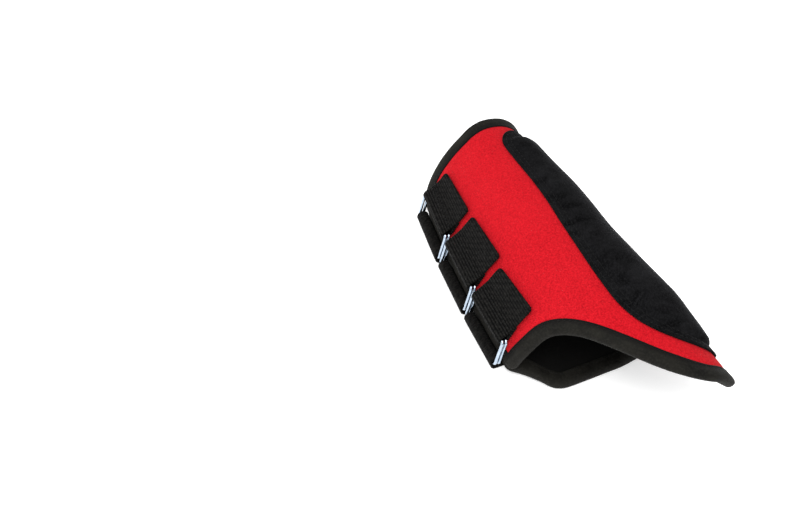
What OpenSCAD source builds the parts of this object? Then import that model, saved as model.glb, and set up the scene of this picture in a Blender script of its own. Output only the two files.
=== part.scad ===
// Leg protection boot: a padded wrap with a raised strike pad along the back,
// closed along its front edge by three elastic straps on pairs of wire loops.
// X runs from the top end to the flared lower end, Y from the strapped edge
// to the back, Z up. The boot lies closed on its side, ready to be opened.

/* [Shell] */
// Distance from the strap datum to the top end
top_reach = 170; // [160:1:185]
// Distance from the strap datum to the tip of the flared tongue
tongue_reach = 101; // [85:1:115]
// Whole wall: felt face, foam core and lining
wall = 7; // [5:0.5:10]
// Felt face and lining thickness, also the binding tape
skin = 1.2; // [0.8:0.1:2]
// Radius of the front face, where the straps lie
front_r = 84; // [70:1:100]
// Radius over the ridge at the top end
ridge_r_top = 26; // [22:1:50]
// Radius over the ridge at the lower end
ridge_r_low = 68; // [56:1:90]
// How far the tongue turns outwards
flare_out = 8; // [0:1:10]
// How far the tongue sinks, as a share of its height
droop = 0.2; // [0:0.05:0.3]
// How far the front edge bows back towards the top end
bow = 10.5; // [0:0.5:12]

/* [Binding] */
// Width of the binding tape on each face
bind_w = 10; // [7:0.5:11]

/* [Strike pad] */
// Half width of the pad at its narrow end
pad_half_top = 22; // [14:1:26]
// Half width of the pad at its widest
pad_half_low = 50; // [36:1:56]
// Height of the padded middle above the felt
pad_rise = 7; // [4:0.5:12]
// Flat stitched border round the pad
pad_margin = 7; // [5:0.5:9]

/* [Straps] */
// Width of one elastic strap
strap_w = 45; // [38:1:48]
// Distance from one strap to the next
strap_pitch = 52; // [50.5:0.5:58]
// Length of the flap above the wire loops
flap_len = 33; // [26:1:38]
// Elastic thickness
elastic = 1.8; // [1.4:0.1:2.4]

/* [Wire loops] */
// Wire diameter
wire = 2.4; // [2:0.1:2.6]
// Distance between the two wire loops of a pair
loop_gap = 3; // [2.8:0.1:3.4]

/* [Hidden] */
phi0 = 80;
phi1 = 38;
straight = 4;
edge_z = 11.5;
under_y = 2;
under_rise = 2.4;
fy = front_r * sin(phi0);
fz = edge_z - front_r * cos(phi0);
ya = fy - front_r * sin(phi1);
za = fz + front_r * cos(phi1);
shift_x = 34.5;
shift_y = -57.6;
bore_r = loop_gap / 2 + wire / 2 + 0.06;
roll_r = bore_r + elastic + 0.04;
hinge_lo = [-3.9, 8.6];
tab_foot = [-3.4, 3.8];
tab_foot_r = 3.6;
phi_up = 66.8;
up_r = front_r + roll_r + 0.5;
hinge_up = [fy - up_r * sin(phi_up), fz + up_r * cos(phi_up)];
flap_lo = front_r + 0.45;
flap_mid = flap_lo + 1.4;
flap_hi = flap_mid + elastic;
function phi_end(n) = phi_up - (flap_len - (n == 3 ? 5 : 0)) / (front_r + 2) * 180 / PI;
phi_fold = phi_up - 13 / front_r * 180 / PI;
phi_patch = phi_up - 14 / front_r * 180 / PI;

function ease(t) = let(c = max(0, min(1, t))) c * c * (3 - 2 * c);
function ridge_r(x) = ridge_r_top + (ridge_r_low - ridge_r_top)
    * (0.52 * ease((x + top_reach) / 110) + 0.48 * ease((x + 80) / 150));
function top_y(x) = ya + straight * cos(phi1) + ridge_r(x) * sin(phi1);
function top_z(x) = za + straight * sin(phi1) + ridge_r(x) * (1 - cos(phi1));
function flare(x) = flare_out * ease((x - 40) / 65);
function bend(x) = x < 0 ? bow * pow(x / 150, 2) : 0;
function rise(y) = under_rise * ease((27 - y) / 9);

// A point of the wrap: seg 0 front, 1 straight, 2 ridge, 3 back, 4 underside
function wrap(x, seg, t, depth) = let(p = section(x, seg, t, depth))
    [p[0], p[1] + bend(x), p[2] * (1 - droop * ease((x - 25) / 80))];
function section(x, seg, t, depth) =
    let(d = depth - flare(x), r = ridge_r(x), cy = top_y(x), h = top_z(x))
    seg == 0 ? let(a = phi0 + (phi1 - phi0) * t, q = front_r - d)
        [x, fy - q * sin(a), fz + q * cos(a)]
    : seg == 1 ? [x, ya + t * straight * cos(phi1) + d * sin(phi1),
                  za + t * straight * sin(phi1) - d * cos(phi1)]
    : seg == 2 ? let(a = phi1 * (1 - t), q = r - d) [x, cy - q * sin(a), h - r + q * cos(a)]
    : seg == 3 ? let(a = 180 * t, q = h / 2 - d) [x, cy + q * sin(a), h / 2 + q * cos(a)]
    : let(y = cy + (under_y - cy) * t) [x, y, d + rise(y)];

// Girth of each part of the section where the straps begin
len0 = front_r * (phi0 - phi1) * PI / 180;
len2 = ridge_r_low * phi1 * PI / 180;
len3 = PI * top_z(0) / 2;
len4 = top_y(0) - under_y;
starts = [0, len0, len0 + straight, len0 + straight + len2, len0 + straight + len2 + len3];
lens = [len0, straight, len2, len3, len4];
centre_s = 37.35;
function girth(seg, t) = starts[seg] + lens[seg] * t - starts[3] - centre_s;

// Outline of the wrap: lower edge with its tongue, and the top edge
function lower_edge(w) = w > 0
    ? 35 + (tongue_reach - 35) * (1 - ease((w - 8) / 58)) - 27 * ease((w - 124) / 30)
    : 18 + (tongue_reach - 18) * (1 - ease((-w - 12) / 98)) - 6 * ease((-w - 105) / 50);
function upper_edge(w) = -top_reach + 10 * pow(w / 150, 2) + 6 * ease((abs(w) - 135) / 16);
function lean_lo(w) = min(2, sqrt(1 + pow((lower_edge(w + 1) - lower_edge(w - 1)) / 2, 2)));
function lean_up(w) = min(1.8, sqrt(1 + pow((upper_edge(w + 1) - upper_edge(w - 1)) / 2, 2)));

// Grid lines round the girth, the first and last three follow the binding
lines_v = concat(
    [[0, 0], [0, skin / len0], [0, bind_w / len0]],
    [for (k = [1:6]) [0, bind_w / len0 + (1 - bind_w / len0) * k / 6]],
    [[1, 1]],
    [for (k = [1:5]) [2, k / 5]],
    [for (k = [1:14]) [3, k / 14]],
    [for (k = [1:7]) [4, (1 - bind_w / len4) * k / 7]],
    [[4, 1 - skin / len4], [4, 1]]);
nv = len(lines_v) - 1;
nu = 27;
function line_x(i, w) =
    let(a = upper_edge(w), b = lower_edge(w), la = lean_up(w), lb = lean_lo(w))
    i == 0 ? a : i == 1 ? a + skin * la
    : i == nu ? b : i == nu - 1 ? b - skin * lb
    : let(p = a + bind_w * la, q = b - bind_w * lb) p + (q - p) * (i - 2) / (nu - 4);
function node_at(i, j, depth) =
    let(v = lines_v[j], w = girth(v[0], v[1])) wrap(line_x(i, w), v[0], v[1], depth);

// Four-sided rings of grid points, k lines in from the edge
function ring(k, depth) = concat(
    [node_at(k, k, depth)], [for (j = [3:nv - 3]) node_at(k, j, depth)],
    [node_at(k, nv - k, depth)], [for (i = [3:nu - 3]) node_at(i, nv - k, depth)],
    [node_at(nu - k, nv - k, depth)], [for (j = [nv - 3:-1:3]) node_at(nu - k, j, depth)],
    [node_at(nu - k, k, depth)], [for (i = [nu - 3:-1:3]) node_at(i, k, depth)]);
ring_n = 2 * (nv - 5) + 2 * (nu - 5) + 4;
function field(depth) = [for (i = [2:nu - 2]) for (j = [2:nv - 2]) node_at(i, j, depth)];
field_n = (nu - 3) * (nv - 3);
function fi(i, j) = (i - 2) * (nv - 3) + (j - 2);
function rim() = concat(
    [fi(2, 2)], [for (j = [3:nv - 3]) fi(2, j)],
    [fi(2, nv - 2)], [for (i = [3:nu - 3]) fi(i, nv - 2)],
    [fi(nu - 2, nv - 2)], [for (j = [nv - 3:-1:3]) fi(nu - 2, j)],
    [fi(nu - 2, 2)], [for (i = [nu - 3:-1:3]) fi(i, 2)]);
function quad(a, b, c, d) = [[a, b, c], [a, c, d]];
function flipped(faces) = [for (f = faces) [f[2], f[1], f[0]]];
function field_faces(base) = [for (i = [2:nu - 3]) for (j = [2:nv - 3])
    each quad(base + fi(i, j), base + fi(i + 1, j), base + fi(i + 1, j + 1), base + fi(i, j + 1))];
function band(a, b, n) = [for (k = [0:n - 1]) let(m = (k + 1) % n)
    each quad(a[k], b[k], b[m], a[m])];
function band_b(a, b, n) = [for (k = [0:n - 1]) let(m = (k + 1) % n)
    each [[a[k], b[k], a[m]], [b[k], b[m], a[m]]]];
function run(base, n) = [for (k = [0:n - 1]) base + k];

// A skin of the wrap between two depths, stopping at the binding
module wrap_sheet(outer, inner) {
    rim0 = rim();
    rim1 = [for (k = rim0) k + field_n];
    polyhedron(
        points = concat(field(outer), field(inner)),
        faces = concat(field_faces(0), flipped(field_faces(field_n)), band(rim1, rim0, ring_n)),
        convexity = 6);
}

// The foam reaches under the binding tape
module wrap_core(outer, inner) {
    a0 = rim();
    a1 = run(2 * field_n, ring_n);
    b0 = [for (k = a0) k + field_n];
    b1 = run(2 * field_n + ring_n, ring_n);
    polyhedron(
        points = concat(field(outer), field(inner), ring(1, outer), ring(1, inner)),
        faces = concat(field_faces(0), flipped(field_faces(field_n)),
            band(a1, a0, ring_n), band(b0, b1, ring_n), band(b1, a1, ring_n)),
        convexity = 6);
}

module outer_felt() {
    color([0.73, 0.02, 0.03])
    translate([shift_x, shift_y, 0])
    wrap_sheet(0, skin);
}

module foam_core() {
    color([0.16, 0.16, 0.17])
    translate([shift_x, shift_y, 0])
    wrap_core(skin, wall - skin);
}

module inner_lining() {
    color([0.03, 0.03, 0.03])
    translate([shift_x, shift_y, 0])
    wrap_sheet(wall - skin, wall);
}

module edge_binding() {
    lips = [[0, 0], [2, 0], [2, skin], [1, skin], [1, wall - skin], [2, wall - skin], [2, wall], [0, wall]];
    color([0.05, 0.045, 0.04])
    translate([shift_x, shift_y, 0])
    polyhedron(
        points = [for (p = lips) each ring(p[0], p[1])],
        faces = [for (k = [0:7])
            each band_b(run(k * ring_n, ring_n), run(((k + 1) % 8) * ring_n, ring_n), ring_n)],
        convexity = 8);
}

// Strike pad, laid out on the wrap as rings round a spine
pad_x0 = -top_reach + bind_w + 5;
pad_x1 = tongue_reach - bind_w - 11.5;
spine_x0 = pad_x0 + 20;
spine_x1 = pad_x1 - 56;
pad_m = 30;
pad_n = 2 * pad_m;
function pad_centre(x) = 3 - 12.5 * (1 - ease((x + 150) / 140));
function pad_half(x) = let(w = pad_half_top + (pad_half_low - pad_half_top) * ease((x + 165) / 215))
    x > spine_x1 ? w * pow(max(0, 1 - pow((x - spine_x1) / (pad_x1 - spine_x1), 2)), 0.55)
    : x < spine_x0 ? w * pow(max(0, 1 - pow((spine_x0 - x) / (spine_x0 - pad_x0), 2)), 0.45) : w;
function pad_station(k) = let(c = (1 - cos(180 * k / pad_m)) / 2, e = 0.5 * c + 0.5 * k / pad_m)
    pad_x0 + (pad_x1 - pad_x0) * e;
function pad_outline(k) = let(m = k <= pad_m ? k : pad_n - k, x = pad_station(m),
    side = k == 0 || k == pad_m ? 0 : k < pad_m ? -1 : 1) [x, side * pad_half(x)];
function pad_inner(k) = [max(spine_x0, min(spine_x1, pad_outline(k)[0])), 0];
function pad_span(k) = norm(pad_outline(k) - pad_inner(k));
// Flat position on the wrap, w from the pad centre line
function pad_point(p, up) = let(x = p[0], s = p[1] + centre_s + pad_centre(x), r = ridge_r(x))
    s < 0 ? wrap(x, 2, 1 + s * 180 / PI / r / phi1, -up) : wrap(x, 3, s / (PI * top_z(x) / 2), -up);
function pad_ring(inset, share, up) = [for (k = [0:pad_n - 1])
    let(o = pad_outline(k), c = pad_inner(k), f = (1 - inset / pad_span(k)) * share)
    pad_point(c + (o - c) * f, up)];
function cap(base) = concat(
    [[base, base + 1, base + pad_n - 1]],
    [for (k = [1:pad_m - 2]) each quad(base + k, base + k + 1, base + pad_n - k - 1, base + pad_n - k)],
    [[base + pad_m - 1, base + pad_m, base + pad_m + 1]]);

// A domed layer: rings from the rim inwards, closed top and bottom
module pad_layer(upper, lower) {
    n = len(upper);
    m = len(lower);
    polyhedron(
        points = concat([for (u = upper) each pad_ring(u[0], u[1], u[2])],
            [for (u = lower) each pad_ring(u[0], u[1], u[2])]),
        faces = concat(
            [for (k = [0:n - 2]) each band(run((k + 1) * pad_n, pad_n), run(k * pad_n, pad_n), pad_n)],
            cap((n - 1) * pad_n),
            band(run(0, pad_n), run(n * pad_n, pad_n), pad_n),
            [for (k = [0:m - 2]) each band(run((n + k) * pad_n, pad_n), run((n + k + 1) * pad_n, pad_n), pad_n)],
            flipped(cap((n + m - 1) * pad_n))),
        convexity = 6);
}

lift = 0.7;
plate = 1.2;
shares = [1, 0.84, 0.67, 0.5, 0.32, 0.13];
crown_z = [0.68, 0.83, 0.92, 0.965, 0.99, 1];
function crown_rings(less) = [for (k = [0:5])
    [pad_margin + 5, shares[k], crown_z[k] * pad_rise + lift - less]];
function flat_rings(inset, up) = concat([[pad_margin + inset, 1, up]],
    [for (k = [0:5]) [pad_margin + 5, shares[k], up]]);

module pad_cover() {
    color([0.03, 0.03, 0.032])
    translate([shift_x, shift_y, 0])
    pad_layer(concat([for (k = [0:2]) [k * pad_margin / 2, 1, skin + lift]], crown_rings(0)),
        concat([for (k = [0:2]) [k * pad_margin / 2, 1, lift]], crown_rings(skin)));
}

module pad_foam() {
    color([0.2, 0.2, 0.21])
    translate([shift_x, shift_y, 0])
    pad_layer(concat([[pad_margin + 3.4, 1, lift + plate + 0.7]], crown_rings(skin + 0.3)),
        flat_rings(3.4, lift + plate + 0.4));
}

module strike_plate() {
    color([0.6, 0.6, 0.58])
    translate([shift_x, shift_y, 0])
    pad_layer(flat_rings(4.2, lift + plate), flat_rings(4.2, lift));
}

module pad_stitching() {
    seat = lift + skin + 0.2;
    lips = [[2.6, seat], [2.6, seat + 0.5], [3.5, seat + 0.5], [3.5, seat]];
    color([0.06, 0.06, 0.062])
    translate([shift_x, shift_y, 0])
    polyhedron(
        points = [for (p = lips) each pad_ring(p[0], 1, p[1])],
        faces = [for (k = [0:3])
            each band(run(k * pad_n, pad_n), run(((k + 1) % 4) * pad_n, pad_n), pad_n)],
        convexity = 6);
}

function strap_mid(n) = -strap_pitch * (n - 1) - strap_w / 2;

// Each strap sits square to the bowed front edge
module seat(n) {
    translate([strap_mid(n) + shift_x, bend(strap_mid(n)) + shift_y, 0])
    rotate([0, 0, atan(2 * bow * strap_mid(n) / 22500)])
    children();
}

// Draws a flat Y-Z shape and runs it across one strap
module along(n, inset = 0) {
    seat(n)
    translate([inset - strap_w / 2, 0, 0])
    rotate([90, 0, 90])
    linear_extrude(height = strap_w - 2 * inset)
    children();
}

module sector(r0, r1, a0, a1) {
    intersection() {
        difference() {
            translate([fy, fz]) circle(r = r1, $fn = 180);
            translate([fy, fz]) circle(r = r0, $fn = 180);
        }
        polygon([[fy, fz], [fy - 130 * sin(a0), fz + 130 * cos(a0)],
            [fy - 130 * sin(a1), fz + 130 * cos(a1)]]);
    }
}

module loop_tab(n) {
    color([0.045, 0.045, 0.047])
    along(n)
    difference() {
        union() {
            hull() {
                translate(hinge_lo) circle(r = roll_r, $fn = 48);
                translate(tab_foot) circle(r = tab_foot_r, $fn = 48);
            }
            translate([tab_foot[0], tab_foot[1] - tab_foot_r]) square([20, elastic]);
        }
        translate(hinge_lo) circle(r = bore_r, $fn = 48);
    }
}

module tab_stitching(n) {
    color([0.09, 0.09, 0.09])
    seat(n)
    for (k = [0, 1])
        translate([3 - strap_w / 2, 10 + 3.5 * k, tab_foot[1] - tab_foot_r - 0.14])
        cube([strap_w - 6, 0.8, 0.12]);
}

module strap(n) {
    color([0.04, 0.04, 0.042])
    along(n)
    difference() {
        union() {
            translate(hinge_up) circle(r = roll_r, $fn = 48);
            sector(flap_mid, flap_hi, phi_up, phi_end(n));
            sector(flap_lo, flap_hi, phi_up, phi_fold);
        }
        translate(hinge_up) circle(r = bore_r, $fn = 48);
    }
}

module hook_patch(n) {
    color([0.09, 0.09, 0.09])
    along(n, 1)
    sector(flap_lo, flap_mid, phi_patch, phi_end(n) + 4.5);
}

module strap_stitching(n) {
    color([0.1, 0.1, 0.1])
    along(n, 2) {
        sector(flap_hi, flap_hi + 0.35, phi_fold + 2.6, phi_fold + 2);
        sector(flap_hi, flap_hi + 0.35, phi_fold + 0.8, phi_fold + 0.2);
    }
}

// One rectangular wire loop; side -1 is the outer loop, 1 the inner one
module wire_loop(n, side) {
    span = norm(hinge_up - hinge_lo);
    tilt = atan2(hinge_up[0] - hinge_lo[0], hinge_up[1] - hinge_lo[1]);
    half = strap_w / 2 + 0.4 + wire / 2;
    bend = 2.2;
    color([0.75, 0.76, 0.78])
    seat(n)
    translate([0, hinge_lo[0], hinge_lo[1]])
    rotate([-tilt, 0, 0])
    translate([0, side * loop_gap / 2, 0]) {
        for (z = [0, span])
            translate([-half + bend, 0, z]) rotate([0, 90, 0])
            cylinder(h = 2 * (half - bend), r = wire / 2, $fn = 32);
        for (s = [-1, 1])
            translate([s * half, 0, bend])
            cylinder(h = span - 2 * bend, r = wire / 2, $fn = 32);
        for (s = [0, 1]) mirror([s, 0, 0]) {
            translate([half - bend, 0, bend]) rotate([90, 0, 0]) rotate([0, 0, -90])
            rotate_extrude(angle = 90, $fn = 64) translate([bend, 0]) circle(r = wire / 2, $fn = 32);
            translate([half - bend, 0, span - bend]) rotate([90, 0, 0])
            rotate_extrude(angle = 90, $fn = 64) translate([bend, 0]) circle(r = wire / 2, $fn = 32);
        }
    }
}

module loop_tab_1() { loop_tab(1); }
module loop_tab_2() { loop_tab(2); }
module loop_tab_3() { loop_tab(3); }
module tab_stitching_1() { tab_stitching(1); }
module tab_stitching_2() { tab_stitching(2); }
module tab_stitching_3() { tab_stitching(3); }
module outer_loop_1() { wire_loop(1, -1); }
module outer_loop_2() { wire_loop(2, -1); }
module outer_loop_3() { wire_loop(3, -1); }
module inner_loop_1() { wire_loop(1, 1); }
module inner_loop_2() { wire_loop(2, 1); }
module inner_loop_3() { wire_loop(3, 1); }
module strap_1() { strap(1); }
module strap_2() { strap(2); }
module strap_3() { strap(3); }
module hook_patch_1() { hook_patch(1); }
module hook_patch_2() { hook_patch(2); }
module hook_patch_3() { hook_patch(3); }
module strap_stitching_1() { strap_stitching(1); }
module strap_stitching_2() { strap_stitching(2); }
module strap_stitching_3() { strap_stitching(3); }

outer_felt();
foam_core();
inner_lining();
edge_binding();
pad_cover();
pad_foam();
strike_plate();
pad_stitching();
loop_tab_1();
loop_tab_2();
loop_tab_3();
tab_stitching_1();
tab_stitching_2();
tab_stitching_3();
outer_loop_1();
outer_loop_2();
outer_loop_3();
inner_loop_1();
inner_loop_2();
inner_loop_3();
strap_1();
strap_2();
strap_3();
hook_patch_1();
hook_patch_2();
hook_patch_3();
strap_stitching_1();
strap_stitching_2();
strap_stitching_3();
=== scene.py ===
"""Horse leg protection boot: the visual pieces, their materials, the stage and the camera.

All sizes are in mm until on_wrap, on_pad or on_seat turns them into metres of the shared frame.
The wrap, the pad and the straps follow the same laws as the CAD source of the part.
"""
import math
import sys

import bmesh
import bpy
import numpy as np
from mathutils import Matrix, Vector


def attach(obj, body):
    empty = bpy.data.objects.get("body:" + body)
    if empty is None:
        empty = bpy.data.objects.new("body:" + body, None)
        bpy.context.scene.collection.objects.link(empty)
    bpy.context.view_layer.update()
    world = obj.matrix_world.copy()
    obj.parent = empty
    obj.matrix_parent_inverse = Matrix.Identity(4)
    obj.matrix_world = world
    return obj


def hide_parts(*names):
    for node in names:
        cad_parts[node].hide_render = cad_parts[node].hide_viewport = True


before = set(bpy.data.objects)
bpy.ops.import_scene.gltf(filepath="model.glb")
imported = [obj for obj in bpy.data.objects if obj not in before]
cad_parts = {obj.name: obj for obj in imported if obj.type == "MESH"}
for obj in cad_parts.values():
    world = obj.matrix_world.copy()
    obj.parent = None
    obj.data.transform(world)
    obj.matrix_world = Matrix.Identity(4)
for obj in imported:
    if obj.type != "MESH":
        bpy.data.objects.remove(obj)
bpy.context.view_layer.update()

# ---------------------------------------------------------------- dimensions, mm
# The boot: x runs from the top end (negative) to the tongue, y from the strapped edge to the back.
TOP_REACH, TONGUE_REACH = 170.0, 101.0
WALL, SKIN = 7.0, 1.2
FRONT_R, RIDGE_R_TOP, RIDGE_R_LOW = 84.0, 26.0, 68.0
FLARE_OUT, DROOP, BOW = 8.0, 0.2, 10.5
BIND_W = 10.0
PAD_HALF_TOP, PAD_HALF_LOW = 22.0, 50.0
STRAP_W, STRAP_PITCH, FLAP_LEN, ELASTIC = 45.0, 52.0, 33.0, 1.8
WIRE, LOOP_GAP = 2.4, 3.0
PHI0, PHI1, STRAIGHT = math.radians(80), math.radians(38), 4.0
EDGE_Z, UNDER_Y, UNDER_RISE = 11.5, 2.0, 2.4
SHIFT = np.array([34.5, -57.6, 0.0])
LIFT = 0.6
CENTRE_S = 37.35

# Stitch rows, in mm from the edge that each row follows.
BIND_ROW = 8.2
PAD_RIM_ROW, PAD_SEAM_ROW = 3.0, 6.9
STRAP_ROWS, TAB_ROWS = (23.4, 26.0), (10.4, 13.9)
# The skins stop this far inside the edge, under the binding.
SKIN_INSET = 6.5
# The strap nearest the top end has a shorter flap.
SHORT_FLAP = 5.0

# Centre of the front arc, and where that arc meets the short straight part.
FY = FRONT_R * math.sin(PHI0)
FZ = EDGE_Z - FRONT_R * math.cos(PHI0)
YA = FY - FRONT_R * math.sin(PHI1)
ZA = FZ + FRONT_R * math.cos(PHI1)
# Hinges: the rolls of elastic round the lower and the upper bars of the wire loops.
BORE_R = LOOP_GAP / 2 + WIRE / 2 + 0.06
ROLL_R = BORE_R + ELASTIC + 0.04
HINGE_LO = np.array([-3.9, 8.6])
TAB_FOOT, TAB_FOOT_R = np.array([-3.4, 3.8]), 3.6
PHI_UP = math.radians(66.8)
UP_R = FRONT_R + ROLL_R + 0.5
HINGE_UP = np.array([FY - UP_R * math.sin(PHI_UP), FZ + UP_R * math.cos(PHI_UP)])
FLAP_LO = FRONT_R + 0.45
FLAP_MID = FLAP_LO + 1.4
FLAP_HI = FLAP_MID + ELASTIC
PHI_FOLD = PHI_UP - 13 / FRONT_R
PHI_PATCH = PHI_UP - 14 / FRONT_R


def ease(t):
    """0 to 1 with flat ends."""
    c = np.clip(t, 0, 1)
    return c * c * (3 - 2 * c)


def ridge_r(x):
    """Radius of the rounded ridge, small at the top end and large at the tongue."""
    share = 0.52 * ease((x + TOP_REACH) / 110) + 0.48 * ease((x + 80) / 150)
    return RIDGE_R_TOP + (RIDGE_R_LOW - RIDGE_R_TOP) * share


def top_y(x):
    return YA + STRAIGHT * math.cos(PHI1) + ridge_r(x) * math.sin(PHI1)


def top_z(x):
    return ZA + STRAIGHT * math.sin(PHI1) + ridge_r(x) * (1 - math.cos(PHI1))


def bend(x):
    """How far the upper half of the boot bows towards the back."""
    return np.where(np.asarray(x) < 0, BOW * (np.asarray(x) / 150) ** 2, 0.0)


def flare(x):
    """How far the lower end opens outwards."""
    return FLARE_OUT * ease((x - 40) / 65)


# The girth in five parts: front arc, straight, ridge, back arc and underside.
LEN0 = FRONT_R * (PHI0 - PHI1)
LEN2 = RIDGE_R_LOW * PHI1
LEN3 = math.pi * float(top_z(0.0)) / 2
LEN4 = float(top_y(0.0)) - UNDER_Y
STARTS = np.cumsum([0, LEN0, STRAIGHT, LEN2, LEN3])
LENS = np.array([LEN0, STRAIGHT, LEN2, LEN3, LEN4])
W_MIN = -STARTS[3] - CENTRE_S
W_MAX = W_MIN + float(LENS.sum())


def section(x, seg, t, depth):
    """Local y, z of the wrap in part.scad's terms, for whole arrays."""
    d = depth - flare(x)
    r, cy, h = ridge_r(x), top_y(x), top_z(x)
    a0, a2, a3 = PHI0 + (PHI1 - PHI0) * t, PHI1 * (1 - t), math.pi * t
    y4 = cy + (UNDER_Y - cy) * t
    ys = [FY - (FRONT_R - d) * np.sin(a0),
          YA + t * STRAIGHT * math.cos(PHI1) + d * math.sin(PHI1),
          cy - (r - d) * np.sin(a2),
          cy + (h / 2 - d) * np.sin(a3),
          y4]
    zs = [FZ + (FRONT_R - d) * np.cos(a0),
          ZA + t * STRAIGHT * math.sin(PHI1) - d * math.cos(PHI1),
          h - r + (r - d) * np.cos(a2),
          h / 2 + (h / 2 - d) * np.cos(a3),
          d + UNDER_RISE * ease((27 - y4) / 9)]
    pick = [seg == k for k in range(5)]
    y, z = np.select(pick, ys), np.select(pick, zs)
    return y + bend(x), z * (1 - DROOP * ease((x - 25) / 80))


def pack_points(x, y, z):
    """Local mm to metres of the shared frame."""
    return (np.stack(np.broadcast_arrays(x, y, z), -1) + SHIFT) / 1000


def on_seat(n, u, v, z):
    """Points of strap n's own frame: u across the strap from its middle, v away from its edge."""
    mid = -STRAP_PITCH * (n - 1) - STRAP_W / 2
    a = math.atan(2 * BOW * mid / 22500)
    return pack_points(mid + u * math.cos(a) - v * math.sin(a),
                       float(bend(mid)) + u * math.sin(a) + v * math.cos(a), z)


def seat_vector(n, v, z):
    """A direction of strap n's own frame."""
    a = math.atan(2 * BOW * (-STRAP_PITCH * (n - 1) - STRAP_W / 2) / 22500)
    return [-v * math.sin(a), v * math.cos(a), z]


def on_wrap(x, w, depth):
    """Points of the wrap at pattern place (x, w) and depth under its face, in metres."""
    x, w, depth = np.broadcast_arrays(np.asarray(x, float), w, depth)
    s = np.clip(w - W_MIN, 0, float(LENS.sum()) - 1e-6)
    seg = np.searchsorted(STARTS, s, side="right") - 1
    t = (s - STARTS[seg]) / LENS[seg]
    y, z = section(x, seg, t, depth)
    return pack_points(x, y, z)


def lower_edge(w):
    """Where the tongue end of the pattern is cut, at place w round the girth."""
    back = (35 + (TONGUE_REACH - 35) * (1 - ease((w - 8) / 58))
            - 27 * ease((w - 124) / 30))
    front = (18 + (TONGUE_REACH - 18) * (1 - ease((-w - 12) / 98))
             - 6 * ease((-w - 105) / 50))
    return np.where(w > 0, back, front)


def upper_edge(w):
    """Where the top end of the pattern is cut."""
    return -TOP_REACH + 10 * (w / 150) ** 2 + 6 * ease((np.abs(w) - 135) / 16)


# ---------------------------------------------------------------- mesh helpers
def smooth_noise(p, scale, seed):
    """Cheap smooth noise in -1..1 from a few sine waves, p in metres."""
    g = np.random.default_rng(seed)
    out = np.zeros(p.shape[:-1])
    for _ in range(7):
        k = g.normal(size=3)
        k /= np.linalg.norm(k)
        out += np.sin(p @ k * 2 * math.pi / scale * g.uniform(0.6, 1.5) + g.uniform(0, 6.28))
    return out / 4.0


def new_object(name, verts, faces, uvs=None, mat=None, smooth=True):
    me = bpy.data.meshes.new(name)
    me.from_pydata([tuple(v) for v in verts], [], faces)
    me.validate(clean_customdata=False)
    if uvs is not None:
        layer = me.uv_layers.new(name="UVMap")
        idx = np.empty(len(me.loops), dtype=np.int64)
        me.loops.foreach_get("vertex_index", idx)
        layer.data.foreach_set("uv", np.asarray(uvs, float)[idx].ravel())
    me.polygons.foreach_set("use_smooth", [smooth] * len(me.polygons))
    me.update()
    ob = bpy.data.objects.new(name, me)
    bpy.context.scene.collection.objects.link(ob)
    if mat is not None:
        me.materials.append(mat)
    return ob


def grid_faces(n, m, base=0, close_a=False, close_b=False, flip=False):
    """Quads of an n by m grid of vertices that starts at index base."""
    out = []
    for i in range(n if close_a else n - 1):
        for j in range(m if close_b else m - 1):
            i1, j1 = (i + 1) % n, (j + 1) % m
            q = [base + i * m + j, base + i1 * m + j, base + i1 * m + j1, base + i * m + j1]
            out.append(q[::-1] if flip else q)
    return out


def slab(name, top, bottom, uv, mat):
    """A closed thin solid between two matching grids of points."""
    n, m = top.shape[:2]
    verts = np.concatenate([top.reshape(-1, 3), bottom.reshape(-1, 3)])
    faces = grid_faces(n, m) + grid_faces(n, m, n * m, flip=True)
    rim = ([(i, 0) for i in range(n)] + [(n - 1, j) for j in range(1, m)]
           + [(i, m - 1) for i in range(n - 2, -1, -1)] + [(0, j) for j in range(m - 2, 0, -1)])
    ids = [i * m + j for i, j in rim]
    for a, b in zip(ids, ids[1:] + ids[:1]):
        faces.append([b, a, a + n * m, b + n * m])
    uvs = np.concatenate([uv.reshape(-1, 2), uv.reshape(-1, 2)])
    return new_object(name, verts, faces, uvs, mat)


def fix_normals(ob):
    bm = bmesh.new()
    bm.from_mesh(ob.data)
    bmesh.ops.recalc_face_normals(bm, faces=bm.faces)
    bm.to_mesh(ob.data)
    bm.free()
    ob.data.update()
    return ob


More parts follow.
